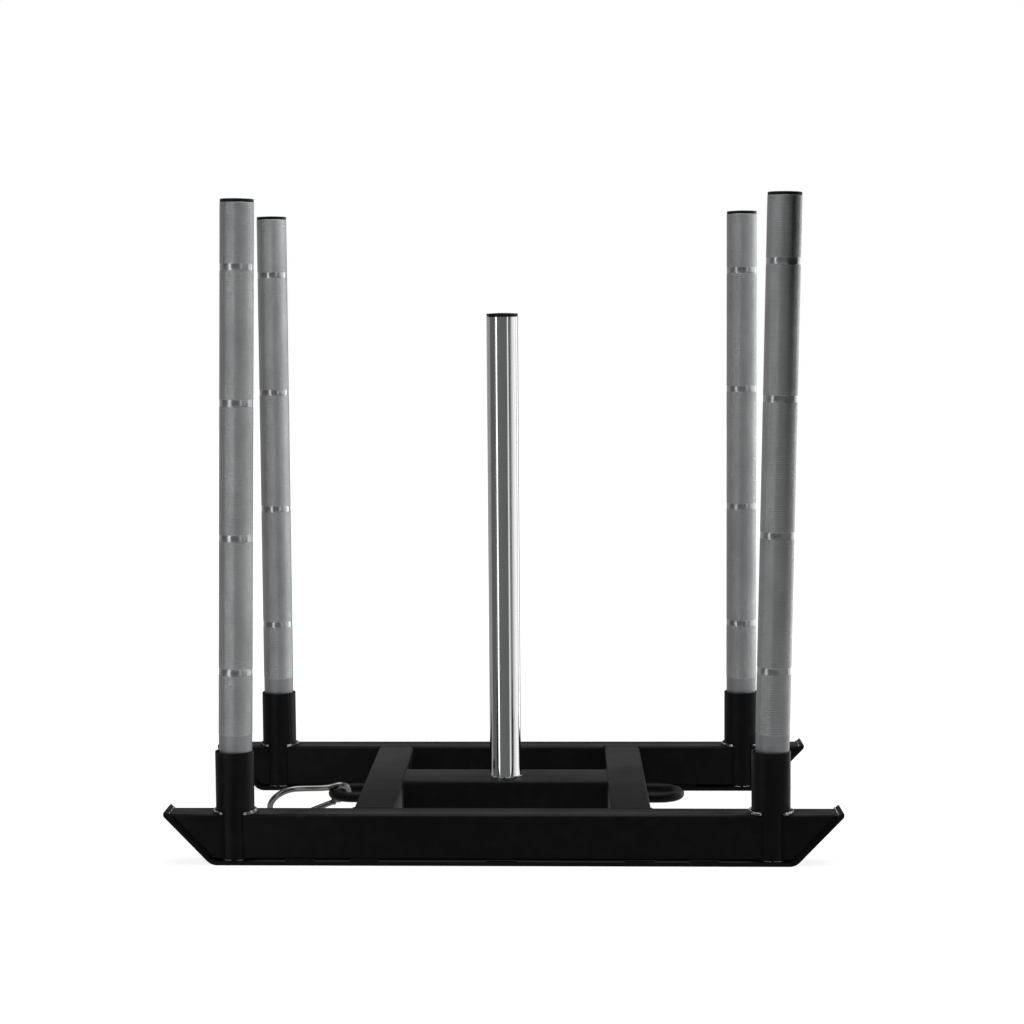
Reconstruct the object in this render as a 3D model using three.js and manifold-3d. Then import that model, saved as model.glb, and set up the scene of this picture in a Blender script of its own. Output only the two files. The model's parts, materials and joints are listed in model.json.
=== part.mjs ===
// Push sled: two railed skids, a welded deck with a weight post, four loose push poles and a snap hook.
// Millimetres. X runs along the skids, Y across the sled, +Z up, the floor at Z = 0 below the centre.

import * as THREE from 'three';
import * as BufferGeometryUtils from 'three/addons/utils/BufferGeometryUtils.js';
import Module from 'manifold-3d';

const wasm = await Module();
wasm.setup();

// Driving dimensions
const railSpacing = 540;
const poleSpacing = 800;
const crossMemberSpacing = 388;
const turnUpAngle = 0.806;

// Clearances
const gap = 0.3;
const overrun = 20;

// Skid: flat bar bent up at both ends, the corner lies past the sleeve
const sleeveToCorner = 4.65;
const skidWidth = 60;
const skidThickness = 6;
const skidBendRadius = 16;
const skidTipHeight = 76.5;
const skidTipCorner = 3;
const skidTipEase = 3;

// Rail: rectangular tube on the skid
const railWidth = 50;
const railHeight = 70;
const railWall = 3;
const railCorner = 5;

// Sleeve: round tube through the rail, its bore follows the pole
const polePlay = 1.85;
const sleeveWall = 2;
const sleeveRise = 91.7;
const sleeveChamfer = 0.9;

// Deck: cross members and middle beam, tops flush with the rails
const crossMemberWidth = 60;
const crossMemberHeight = 60;
const crossMemberCorner = 5;
const beamWidth = 100;
const beamHeight = 50;
const beamCorner = 6;
const deckWall = 3;

// Tow loop: bent round bar
const towBarDiameter = 16;
const towLegSpacing = 73;
const towReach = 63;
const towDrop = 29.3;

// Weight post
const postDiameter = 50;
const postWall = 3;
const postLength = 737;

// Push pole: bare foot, grip stretches, smooth bands
const poleDiameter = 50;
const poleWall = 3;
const poleLength = 977;
const gripRise = 0.4;
const bandWidth = 10;
const bandSpacing = 200;
const bandCount = 4;
const topGripLength = 90;
const lastGripLength = 90;
const tubeEndChamfer = 0.8;
const leanGap = 0.25;

// Plug caps of the post and the poles
const capFlange = 5.4;
const capDome = 1.2;
const capEdge = 1;
const capPlugDepth = 16;

// Snap hook: wire body
const hookWire = 9.5;
const hookBarPlay = 6;
const hookWideRadius = 35.75;
const hookArcSpacing = 76;
const hookWaist = 4;
const hookWaistRun = 20;
const hookSetBack = 5.9;
const hookHeading = 0.245;
const hookRoll = 0.889;

// Snap hook: gate, hinge and latch
const gateDiameter = 8.6;
const tongueThickness = 3.4;
const tongueHeight = 8;
const forkPlay = 0.4;
const cheekFlat = 3.8;
const pivotSetBack = 12;
const tongueShoulder = 5;
const noseShoulderSetBack = 8;
const noseLength = 11;
const noseHeight = 7;
const gateTipPlay = 0.7;
const rivetDiameter = 3.6;
const rivetHeadDiameter = 6.4;
const rivetHeadHeight = 1.3;
const latchPinDiameter = 2.8;
const latchPinSetBack = 6.5;
const springWire = 0.7;
const springDiameter = 4;
const springTurns = 6;
const springLength = 17;
const plungerLength = 6.5;

// Facets
const cornerSteps = 3;
const bendSteps = 5;
const sleeveSides = 28;
const postSides = 30;
const poleSides = 24;
const towBarSides = 12;
const towBowSteps = 12;
const hookSides = 12;
const hookSteps = 42;
const smallSides = 12;
const coilSteps = 7;
const coilSides = 5;

// Places worked out from the sizes above
const skidBottom = 0;
const skidTop = skidBottom + skidThickness;
const railBottom = skidTop + gap;
const deckTop = railBottom + railHeight;
const rimHeight = deckTop + sleeveRise;
const nearSide = -railSpacing / 2;
const farSide = railSpacing / 2;
const leftPole = -poleSpacing / 2;
const rightPole = poleSpacing / 2;
const railInnerFace = (railSpacing - railWidth) / 2;
const sleeveDiameter = poleDiameter + 2 * (polePlay + sleeveWall);
const skidCorner = rightPole + sleeveDiameter / 2 + sleeveToCorner;
const crossMemberOuterFace = (crossMemberSpacing + crossMemberWidth) / 2;
const crossMemberInnerFace = (crossMemberSpacing - crossMemberWidth) / 2;
const towHeight = deckTop - towDrop;

// Finishes
const paint = { color: 0x161617, roughness: 0.42, metalness: 0.1 };
const chrome = { color: 0xd9dbde, roughness: 0.08, metalness: 1.0 };
const satinSteel = { color: 0x8f9296, roughness: 0.4, metalness: 0.9 };
const blackPlastic = { color: 0x0c0c0d, roughness: 0.5, metalness: 0.0 };
const springSteel = { color: 0xa9adb2, roughness: 0.3, metalness: 0.9 };

const sled = new THREE.Group();

// Solid helpers: closed meshes to solids and back
function solid(geometry) {
  const bare = geometry.clone();
  bare.deleteAttribute('normal');
  bare.deleteAttribute('uv');
  const merged = BufferGeometryUtils.mergeVertices(bare);
  const vertProperties = new Float32Array(merged.attributes.position.array);
  const triVerts = new Uint32Array(merged.index.array);
  return new wasm.Manifold(new wasm.Mesh({ numProp: 3, vertProperties, triVerts }));
}

function surface(body) {
  const mesh = body.getMesh();
  const geometry = new THREE.BufferGeometry();
  geometry.setAttribute('position', new THREE.BufferAttribute(new Float32Array(mesh.vertProperties), 3));
  geometry.setIndex(new THREE.BufferAttribute(new Uint32Array(mesh.triVerts), 1));
  geometry.computeVertexNormals();
  return geometry;
}

function piece(name, body, finish, parent = sled) {
  const mesh = new THREE.Mesh(surface(body), new THREE.MeshStandardMaterial(finish));
  mesh.name = name;
  parent.add(mesh);
  return mesh;
}

// Profiles
function roundedRectangle(width, height, radius) {
  const x = width / 2 - radius;
  const y = height / 2 - radius;
  const shape = new THREE.Shape();
  shape.absarc(x, -y, radius, -Math.PI / 2, 0, false);
  shape.absarc(x, y, radius, 0, Math.PI / 2, false);
  shape.absarc(-x, y, radius, Math.PI / 2, Math.PI, false);
  shape.absarc(-x, -y, radius, Math.PI, 1.5 * Math.PI, false);
  shape.closePath();
  return shape;
}

function tubeSection(width, height, wall, corner) {
  const section = roundedRectangle(width, height, corner);
  section.holes.push(roundedRectangle(width - 2 * wall, height - 2 * wall, corner / 2));
  return section;
}

function extrude(shape, depth, curveSegments = cornerSteps) {
  const geometry = new THREE.ExtrudeGeometry(shape, { depth, curveSegments, bevelEnabled: false });
  geometry.translate(0, 0, -depth / 2);
  return geometry;
}

// A section drawn in Y and Z, run along X
function alongX(shape, length, curveSegments) {
  const turn = new THREE.Matrix4().makeBasis(
    new THREE.Vector3(0, 1, 0), new THREE.Vector3(0, 0, 1), new THREE.Vector3(1, 0, 0));
  return extrude(shape, length, curveSegments).applyMatrix4(turn);
}

// An outline drawn in X and Z, run along Y
function alongY(shape, length, curveSegments) {
  return extrude(shape, length, curveSegments).rotateX(Math.PI / 2);
}

// A profile of radius and height pairs, turned about Z
function turned(profile, sides) {
  const points = profile.map(([radius, height]) => new THREE.Vector2(radius, height));
  return new THREE.LatheGeometry(points, sides).rotateX(Math.PI / 2);
}

function rod(diameter, length, sides) {
  return new THREE.CylinderGeometry(diameter / 2, diameter / 2, length, sides).rotateX(Math.PI / 2);
}

// Round tube standing on Z = 0 with chamfered rims
function roundTube(diameter, wall, length, chamfer) {
  const outer = diameter / 2;
  const inner = outer - wall;
  return [
    [inner, 0], [outer - chamfer, 0], [outer, chamfer], [outer, length - chamfer],
    [outer - chamfer, length], [inner, length], [inner, 0],
  ];
}

// Side outline of the bend: the bar's lines at a given depth inside its outer face
const bendCentreHeight = skidBendRadius + skidThickness;
const bendCentreX = skidCorner - bendCentreHeight * Math.tan(turnUpAngle / 2);
const downward = -Math.PI / 2;

function slantX(height, depth) {
  return skidCorner + height / Math.tan(turnUpAngle) - depth / Math.sin(turnUpAngle);
}

function lowerEdge(shape, depth) {
  const radius = bendCentreHeight - depth;
  shape.absarc(-bendCentreX, bendCentreHeight, radius, downward - turnUpAngle, downward, false);
  shape.absarc(bendCentreX, bendCentreHeight, radius, downward, downward + turnUpAngle, false);
}

// Skids: square-cut tips, the outer edge eased, the corners rounded
const easeRise = skidTipEase * Math.sin(turnUpAngle);
const easeRun = skidTipEase * Math.cos(turnUpAngle);
const tipReach = slantX(skidTipHeight - easeRise, 0);

// Tip points of one end, from the inner edge over the end face to the outer face
function tipPoints(end) {
  const tipX = slantX(skidTipHeight, 0);
  const innerX = tipX - skidThickness * Math.sin(turnUpAngle);
  return [
    [end * innerX, skidTipHeight + skidThickness * Math.cos(turnUpAngle)],
    [end * (tipX - easeRise), skidTipHeight + easeRun],
    [end * tipReach, skidTipHeight - easeRise],
  ];
}

function skidBody() {
  const [leftTop, ...leftRest] = tipPoints(-1);
  const side = new THREE.Shape();
  side.moveTo(...leftTop);
  leftRest.forEach((point) => side.lineTo(...point));
  lowerEdge(side, 0);
  tipPoints(1).reverse().forEach((point) => side.lineTo(...point));
  const radius = bendCentreHeight - skidThickness;
  side.absarc(bendCentreX, bendCentreHeight, radius, downward + turnUpAngle, downward, true);
  side.absarc(-bendCentreX, bendCentreHeight, radius, downward, downward - turnUpAngle, true);
  side.closePath();
  const bar = solid(alongY(side, skidWidth, bendSteps));

  const plan = extrude(roundedRectangle(2 * tipReach, skidWidth, skidTipCorner), 4 * skidTipHeight);
  return bar.intersect(solid(plan));
}

// The room above the skid, a gap off its inner face
function aboveSkid() {
  const depth = skidThickness + gap;
  const side = new THREE.Shape();
  side.moveTo(slantX(rimHeight, depth), rimHeight);
  side.lineTo(-slantX(rimHeight, depth), rimHeight);
  lowerEdge(side, depth);
  side.closePath();
  return solid(alongY(side, skidWidth + overrun, bendSteps));
}

// Rails: one tube, cut to the room above the skid and to the sleeves
function railStretch(fromX, toX) {
  const tube = alongX(tubeSection(railWidth, railHeight, railWall, railCorner), toX - fromX);
  tube.translate((fromX + toX) / 2, 0, railBottom + railHeight / 2);
  let body = solid(tube).intersect(aboveSkid());
  for (const poleX of [leftPole, rightPole]) {
    const hole = rod(sleeveDiameter + 2 * gap, rimHeight, sleeveSides);
    hole.translate(poleX, 0, rimHeight / 2);
    body = body.subtract(solid(hole));
  }
  return body;
}

// Sleeves: chamfered at the rim, trimmed at the foot where the skid bends up
function sleeveBody(x) {
  const outer = sleeveDiameter / 2;
  const inner = outer - sleeveWall;
  const profile = [
    [inner, railBottom], [outer, railBottom], [outer, rimHeight - sleeveChamfer],
    [outer - sleeveChamfer, rimHeight], [inner + sleeveChamfer, rimHeight],
    [inner, rimHeight - sleeveChamfer], [inner, railBottom],
  ];
  return solid(turned(profile, sleeveSides).translate(x, 0, 0)).intersect(aboveSkid());
}

const sides = [['near', nearSide], ['far', farSide]];
const ends = [['left', leftPole], ['right', rightPole]];

for (const [side, y] of sides) {
  piece(`${side}_skid`, skidBody(), paint).position.y = y;
  const railEnd = slantX(deckTop + overrun, 0);
  piece(`${side}_rail_left_end`, railStretch(-railEnd, leftPole), paint).position.y = y;
  piece(`${side}_rail_middle`, railStretch(leftPole, rightPole), paint).position.y = y;
  piece(`${side}_rail_right_end`, railStretch(rightPole, railEnd), paint).position.y = y;
  for (const [end, x] of ends) {
    piece(`${side}_${end}_sleeve`, sleeveBody(x), paint).position.y = y;
  }
}

// Deck
const crossMemberSection = tubeSection(crossMemberWidth, crossMemberHeight, deckWall, crossMemberCorner);
const crossMember = solid(alongY(crossMemberSection, 2 * (railInnerFace - gap)));
const beamSection = tubeSection(beamWidth, beamHeight, deckWall, beamCorner);
const beam = solid(alongX(beamSection, 2 * (crossMemberInnerFace - gap)));

// Tow loops: two legs joined by a half-round bow, drawn towards +X from the cross member's face
const towBowRadius = towLegSpacing / 2;
const towTip = towReach - towBarDiameter / 2;
const towLegLength = towTip - towBowRadius;

class TowPath extends THREE.Curve {
  getPoint(share, target = new THREE.Vector3()) {
    const leg = towLegLength - gap;
    const bow = Math.PI * towBowRadius;
    const run = share * (2 * leg + bow);
    if (run <= leg) return target.set(gap + run, -towBowRadius, 0);
    if (run >= leg + bow) return target.set(gap + 2 * leg + bow - run, towBowRadius, 0);
    const angle = (run - leg) / towBowRadius - Math.PI / 2;
    return target.set(towLegLength + towBowRadius * Math.cos(angle), towBowRadius * Math.sin(angle), 0);
  }
}

function roundSection(diameter, count) {
  const points = [];
  for (let i = 0; i < count; i += 1) {
    const angle = (2 * Math.PI * (i + 0.5)) / count;
    points.push(new THREE.Vector2(Math.cos(angle), Math.sin(angle)).multiplyScalar(diameter / 2));
  }
  return new THREE.Shape(points);
}

function sweep(path, diameter, count, steps) {
  const section = roundSection(diameter, count);
  return new THREE.ExtrudeGeometry(section, { extrudePath: path, steps, bevelEnabled: false });
}

const towLoop = solid(sweep(new TowPath(), towBarDiameter, towBarSides, 2 * towBowSteps));

for (const [end, side] of [['left', -1], ['right', 1]]) {
  const member = piece(`${end}_cross_member`, crossMember, paint);
  member.position.set(side * crossMemberSpacing / 2, 0, deckTop - crossMemberHeight / 2);
  const loop = piece(`${end}_tow_loop`, towLoop, paint);
  loop.position.set(side * crossMemberOuterFace, 0, towHeight);
  loop.rotation.z = side < 0 ? Math.PI : 0;
}
piece('middle_beam', beam, paint).position.z = deckTop - beamHeight / 2;

// Plug cap: flange on the tube's end, plug inside its bore
function capBody(tubeDiameter, tubeWall, sideCount) {
  const flange = tubeDiameter / 2;
  const plug = tubeDiameter / 2 - tubeWall - gap;
  const profile = [
    [0, -capPlugDepth], [plug - capEdge, -capPlugDepth], [plug, capEdge - capPlugDepth], [plug, 0],
    [flange, 0], [flange, capFlange - capDome - capEdge], [flange - capEdge, capFlange - capDome],
    [flange / 2, capFlange - capDome / 4], [0, capFlange],
  ];
  return solid(turned(profile, sideCount));
}

// Weight post
const postBottom = deckTop + gap;
const postTube = solid(turned(roundTube(postDiameter, postWall, postLength, tubeEndChamfer), postSides));
piece('weight_post', postTube, chrome).position.z = postBottom;
const postCap = piece('weight_post_cap', capBody(postDiameter, postWall, postSides), blackPlastic);
postCap.position.z = postBottom + postLength + gap;

// Push poles
const bandCentres = [];
for (let i = 0; i < bandCount; i += 1) {
  bandCentres.push(poleLength - topGripLength - bandWidth / 2 - (bandCount - 1 - i) * bandSpacing);
}
const gripStart = bandCentres[0] - bandWidth / 2 - lastGripLength;

function poleBody() {
  const bare = poleDiameter / 2;
  const grip = bare + gripRise;
  const bore = bare - poleWall;
  const profile = [[bore, 0], [bare - tubeEndChamfer, 0], [bare, tubeEndChamfer]];
  profile.push([bare, gripStart], [grip, gripStart + gripRise]);
  for (const centre of bandCentres) {
    const low = centre - bandWidth / 2;
    const high = centre + bandWidth / 2;
    profile.push([grip, low - gripRise], [bare, low], [bare, high], [grip, high + gripRise]);
  }
  profile.push([grip, poleLength - tubeEndChamfer], [bare - tubeEndChamfer, poleLength]);
  profile.push([bore, poleLength], [bore, 0]);
  return solid(turned(profile, poleSides));
}

// A loose pole leans across its sleeve until its rim and foot nearly touch the bore
const poleInsertion = rimHeight - railBottom;
const sleevePlay = sleeveDiameter / 2 - sleeveWall - poleDiameter / 2;
const poleLean = Math.asin((2 * Math.max(sleevePlay - leanGap, 0)) / poleInsertion);

for (const [side, y] of sides) {
  for (const [end, x] of ends) {
    const lean = side === 'near' ? poleLean : 0;
    const stand = new THREE.Group();
    stand.position.set(x, y, railBottom + poleInsertion / 2);
    stand.rotation.y = lean;
    sled.add(stand);
    const foot = Math.sin(lean) * poleDiameter / 2 - poleInsertion / 2;
    piece(`${side}_${end}_pole`, poleBody(), satinSteel, stand).position.z = foot;
    const cap = piece(`${side}_${end}_pole_cap`, capBody(poleDiameter, poleWall, poleSides), blackPlastic, stand);
    cap.position.z = foot + poleLength + gap;
  }
}

// Snap hook, drawn flat: U from the narrow arc to the wide arc, V towards the spine, W square to both
const narrowRadius = towBarDiameter / 2 + hookBarPlay + hookWire / 2;
const taper = Math.asin((hookWideRadius - narrowRadius) / hookArcSpacing);
const sideLength = hookArcSpacing * Math.cos(taper);
const narrowTangent = new THREE.Vector2(-narrowRadius * Math.sin(taper), -narrowRadius * Math.cos(taper));
const gateAlong = new THREE.Vector2(Math.cos(taper), -Math.sin(taper));
const gateInward = new THREE.Vector2(Math.sin(taper), Math.cos(taper));
const noseShoulder = sideLength - noseShoulderSetBack;

function onGateLine(run, inward = 0) {
  const place = narrowTangent.clone().addScaledVector(gateAlong, run).addScaledVector(gateInward, inward);
  return new THREE.Vector3(place.x, place.y, 0);
}

// The spine draws in past the narrow arc and eases back out to the wide arc
function waistAt(run) {
  const share = run < hookWaistRun ? run / hookWaistRun : (sideLength - run) / (sideLength - hookWaistRun);
  return hookWaist * (1 - Math.cos(Math.PI * share)) / 2;
}

// The wire runs from the hinge shoulder round the narrow arc, along the spine and round the wide arc
class HookPath extends THREE.Curve {
  getPoint(share, target = new THREE.Vector3()) {
    const turnNarrow = Math.PI - 2 * taper;
    const turnWide = Math.PI + 2 * taper;
    const runs = [
      tongueShoulder, narrowRadius * turnNarrow, sideLength, hookWideRadius * turnWide, noseShoulderSetBack,
    ];
    let run = share * runs.reduce((sum, value) => sum + value, 0);
    let stretch = 0;
    while (stretch < runs.length - 1 && run > runs[stretch]) {
      run -= runs[stretch];
      stretch += 1;
    }
    if (stretch === 0) return target.copy(onGateLine(tongueShoulder - run));
    if (stretch === 4) return target.copy(onGateLine(sideLength - run));
    if (stretch === 1) {
      const angle = 1.5 * Math.PI - taper - run / narrowRadius;
      return target.set(narrowRadius * Math.cos(angle), narrowRadius * Math.sin(angle), 0);
    }
    if (stretch === 2) {
      const angle = Math.PI / 2 + taper;
      const out = narrowRadius - waistAt(run);
      return target.set(
        out * Math.cos(angle) + run * Math.cos(taper), out * Math.sin(angle) + run * Math.sin(taper), 0);
    }
    const angle = Math.PI / 2 + taper - run / hookWideRadius;
    return target.set(
      hookArcSpacing + hookWideRadius * Math.cos(angle), hookWideRadius * Math.sin(angle), 0);
  }
}

// Places a solid drawn about the origin, U along the gate, onto the gate line
function atGateLine(geometry, run, inward = 0) {
  const place = onGateLine(run, inward);
  return geometry.rotateZ(-taper).translate(place.x, place.y, 0);
}

function block(length, height, thickness) {
  return new THREE.BoxGeometry(length, height, thickness);
}

function hookBody() {
  let body = solid(sweep(new HookPath(), hookWire, hookSides, hookSteps));
  const root = hookWire / 4;
  // Hinge tongue with a round end about the rivet
  const tongueLength = pivotSetBack - tongueShoulder + root;
  const tongue = block(tongueLength, tongueHeight, tongueThickness);
  body = body.add(solid(atGateLine(tongue, pivotSetBack - tongueLength / 2)));
  body = body.add(solid(atGateLine(rod(tongueHeight, tongueThickness, hookSides * 2), pivotSetBack)));
  const rivetHole = rod(rivetDiameter + 2 * gap, hookWire, smallSides);
  body = body.subtract(solid(atGateLine(rivetHole, pivotSetBack)));
  // Nose with a notch that opens inwards for the latch pin
  const nose = block(noseLength + root, noseHeight, tongueThickness);
  body = body.add(solid(atGateLine(nose, noseShoulder - (noseLength - root) / 2)));
  const notchWidth = latchPinDiameter + 2 * gap;
  const notch = block(notchWidth, noseHeight, hookWire);
  const pinRun = noseShoulder - latchPinSetBack;
  body = body.subtract(solid(atGateLine(notch, pinRun, noseHeight / 2)));
  body = body.subtract(solid(atGateLine(rod(notchWidth, hookWire, smallSides), pinRun)));
  return body;
}

const gateTip = noseShoulder - gateTipPlay;
const gateHeel = pivotSetBack - gateDiameter / 2;
const forkWidth = tongueThickness + 2 * forkPlay;
const hingeSlotEnd = pivotSetBack + tongueHeight / 2 + gap;
const noseSlotStart = noseShoulder - noseLength - 2 * gap;
const springBore = springDiameter + 2 * gap;
const plungerStart = hingeSlotEnd;
const springStart = plungerStart + plungerLength + gap;
const boreEnd = springStart + springLength + gap;

function gateBody() {
  // Round bar with a round heel about the rivet
  const bar = rod(gateDiameter, gateTip - pivotSetBack, hookSides).rotateY(Math.PI / 2);
  let gate = solid(atGateLine(bar, (gateTip + pivotSetBack) / 2));
  const heel = new THREE.SphereGeometry(gateDiameter / 2, hookSides, hookSides / 2).rotateX(Math.PI / 2);
  gate = gate.add(solid(atGateLine(heel, pivotSetBack)));
  // Fork over the hinge tongue, slot over the nose
  const hingeSlotLength = hingeSlotEnd - gateHeel + overrun;
  const hingeSlot = block(hingeSlotLength, hookWire, forkWidth);
  gate = gate.subtract(solid(atGateLine(hingeSlot, hingeSlotEnd - hingeSlotLength / 2)));
  const noseSlotLength = gateTip - noseSlotStart + overrun;
  const noseSlot = block(noseSlotLength, hookWire, forkWidth);
  gate = gate.subtract(solid(atGateLine(noseSlot, noseSlotStart + noseSlotLength / 2)));
  // Flats under the rivet's heads
  for (const face of [-1, 1]) {
    const flat = block(gateDiameter, hookWire, gateDiameter).translate(0, 0, face * (cheekFlat + gateDiameter / 2));
    gate = gate.subtract(solid(atGateLine(flat, pivotSetBack)));
  }
  // Rivet hole, latch pin hole and spring bore
  gate = gate.subtract(solid(atGateLine(rod(rivetDiameter + 2 * gap, hookWire, smallSides), pivotSetBack)));
  const pinHole = rod(latchPinDiameter + 2 * gap, hookWire, smallSides);
  gate = gate.subtract(solid(atGateLine(pinHole, noseShoulder - latchPinSetBack)));
  const boreStart = hingeSlotEnd - gap;
  const bore = rod(springBore, boreEnd - boreStart, smallSides).rotateY(Math.PI / 2);
  return gate.subtract(solid(atGateLine(bore, (boreStart + boreEnd) / 2)));
}

function rivetBody() {
  const shaft = rivetDiameter / 2;
  const head = rivetHeadDiameter / 2;
  const seat = cheekFlat + gap;
  const profile = [
    [0, -seat - rivetHeadHeight], [head / 2, -seat - rivetHeadHeight], [head, -seat], [shaft, -seat],
    [shaft, seat], [head, seat], [head / 2, seat + rivetHeadHeight], [0, seat + rivetHeadHeight],
  ];
  return solid(atGateLine(turned(profile, smallSides), pivotSetBack));
}

function latchPinBody() {
  const length = gateDiameter - 2 * gap;
  return solid(atGateLine(rod(latchPinDiameter, length, smallSides), noseShoulder - latchPinSetBack));
}

// Coil spring along the gate's bore
class CoilPath extends THREE.Curve {
  getPoint(share, target = new THREE.Vector3()) {
    const radius = (springDiameter - springWire) / 2;
    const angle = 2 * Math.PI * springTurns * share;
    const climb = springLength - springWire;
    return target.set(springWire / 2 + climb * share, radius * Math.cos(angle), radius * Math.sin(angle));
  }
}

function springBody() {
  const coil = sweep(new CoilPath(), springWire, coilSides, springTurns * coilSteps);
  return solid(atGateLine(coil, springStart));
}

function plungerBody() {
  const radius = springDiameter / 2;
  const profile = [
    [0, gap], [radius / 2, gap], [radius, radius / 2], [radius, plungerLength], [0, plungerLength],
  ];
  const pin = turned(profile, smallSides).rotateY(Math.PI / 2);
  return solid(atGateLine(pin, plungerStart));
}

// The hook hangs on the left bow at its own heading and roll, and dips until its wide end rests on the floor
function lowestPoint(dip) {
  const rise = Math.hypot(Math.sin(dip), Math.cos(dip) * Math.sin(hookRoll));
  return towHeight - hookArcSpacing * Math.sin(dip) - hookWideRadius * rise - hookWire / 2;
}

function restingDip() {
  let low = 0;
  let high = Math.PI / 4;
  for (let i = 0; i < 40; i += 1) {
    const middle = (low + high) / 2;
    if (lowestPoint(middle) > gap / 2) low = middle;
    else high = middle;
  }
  return (low + high) / 2;
}

const hookDip = restingDip();
const bowCentreX = -(crossMemberOuterFace + towLegLength);
const hookCentre = new THREE.Vector3(bowCentreX - towBowRadius + hookSetBack, 0, towHeight);
const along = new THREE.Vector3(
  -Math.cos(hookHeading) * Math.cos(hookDip), -Math.sin(hookHeading) * Math.cos(hookDip), -Math.sin(hookDip));
const level = new THREE.Vector3(Math.sin(hookHeading), -Math.cos(hookHeading), 0);
const upright = new THREE.Vector3().crossVectors(along, level);
const spineward = level.clone().multiplyScalar(Math.cos(hookRoll)).addScaledVector(upright, Math.sin(hookRoll));
const square = new THREE.Vector3().crossVectors(along, spineward);

const hook = new THREE.Group();
hook.applyMatrix4(new THREE.Matrix4().makeBasis(along, spineward, square).setPosition(hookCentre));
sled.add(hook);
piece('snap_hook_body', hookBody(), chrome, hook);
piece('snap_hook_gate', gateBody(), chrome, hook);
piece('snap_hook_rivet', rivetBody(), chrome, hook);
piece('snap_hook_latch_pin', latchPinBody(), chrome, hook);
piece('snap_hook_spring', springBody(), springSteel, hook);
piece('snap_hook_plunger', plungerBody(), springSteel, hook);

export default sled;
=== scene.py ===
"""Push sled: smooth tube, weld beads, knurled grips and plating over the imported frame."""

import json
import math

import bmesh
import bpy
from mathutils import Matrix, Vector


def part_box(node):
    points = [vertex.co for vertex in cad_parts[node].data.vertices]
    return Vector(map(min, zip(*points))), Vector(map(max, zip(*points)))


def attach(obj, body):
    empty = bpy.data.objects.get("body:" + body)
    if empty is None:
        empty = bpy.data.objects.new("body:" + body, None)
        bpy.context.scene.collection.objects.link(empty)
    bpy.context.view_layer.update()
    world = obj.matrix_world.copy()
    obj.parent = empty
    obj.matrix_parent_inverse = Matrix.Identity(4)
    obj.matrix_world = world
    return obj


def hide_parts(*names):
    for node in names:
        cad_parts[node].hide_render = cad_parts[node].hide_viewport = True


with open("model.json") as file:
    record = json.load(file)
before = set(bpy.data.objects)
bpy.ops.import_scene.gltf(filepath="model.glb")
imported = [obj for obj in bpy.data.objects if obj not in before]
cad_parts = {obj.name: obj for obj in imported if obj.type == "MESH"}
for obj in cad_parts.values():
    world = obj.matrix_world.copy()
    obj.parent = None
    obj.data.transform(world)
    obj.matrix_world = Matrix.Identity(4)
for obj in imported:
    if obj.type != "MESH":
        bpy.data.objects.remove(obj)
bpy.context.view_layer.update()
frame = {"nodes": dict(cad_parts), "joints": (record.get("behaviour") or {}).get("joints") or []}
X, Z = Vector((1, 0, 0)), Vector((0, 0, 1))

# Sled sizes in metres, the skids' turn-up in radians
RAIL_WIDTH, DECK_TOP, SKID_TOP = 0.050, 0.0763, 0.006
RAIL_Y, POLE_X, SKID_CORNER, SKID_BEND, TURN_UP = 0.270, 0.400, 0.4335, 0.022, 0.806
SLEEVE_RADIUS, SLEEVE_BORE, SLEEVE_RIM = 0.02885, 0.02685, 0.168
CROSS_X, CROSS_WIDTH, BEAM_WIDTH = 0.194, 0.060, 0.100
POST_RADIUS, POST_WALL = 0.025, 0.003
POLE_RADIUS, POLE_WALL, POLE_LENGTH, GRIP_RISE = 0.025, 0.003, 0.977, 0.0004
BAND_WIDTH, BAND_CENTRES, GRIP_START = 0.010, (0.282, 0.482, 0.682, 0.882), 0.187
CAP_HEIGHT, CAP_PLUG, GAP = 0.00535, 0.016, 0.0003
TOW_RADIUS, TOW_BOW, TOW_LEG, TOW_HEIGHT, TOW_FACE = 0.008, 0.0365, 0.0185, 0.047, 0.224

# Eased edges in metres, and how far in the middle of a rounded edge lies, as a share of its ease
BAR_EASE, SKID_EASE, SLEEVE_EASE, TUBE_EASE, RIM_EASE = 0.0004, 0.0009, 0.0009, 0.0008, 0.0006
EASE_MIDDLE = 0.3

# Grip rings in metres, and the shares of a pitch at which the groove, the ridge and its end lie
RING_PITCH, RING_GROOVE = 0.0036, 0.0003
GROOVE_AT, RIDGE_START, RIDGE_END = 0.08, 0.32, 0.84

# Plug caps: rounding at the brim, then the top as shares of the radius and drops below the middle
CAP_EDGE, CAP_BRIM, CAP_BRIM_RISE = 0.001, 0.0018, 0.0008
CAP_RING = ((0.84, 0.0009), (0.82, 0.0011), (0.80, 0.0008))
CAP_DOME = ((0.5, 0.0003), (0.2, 0.00005), (0, 0))

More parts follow.
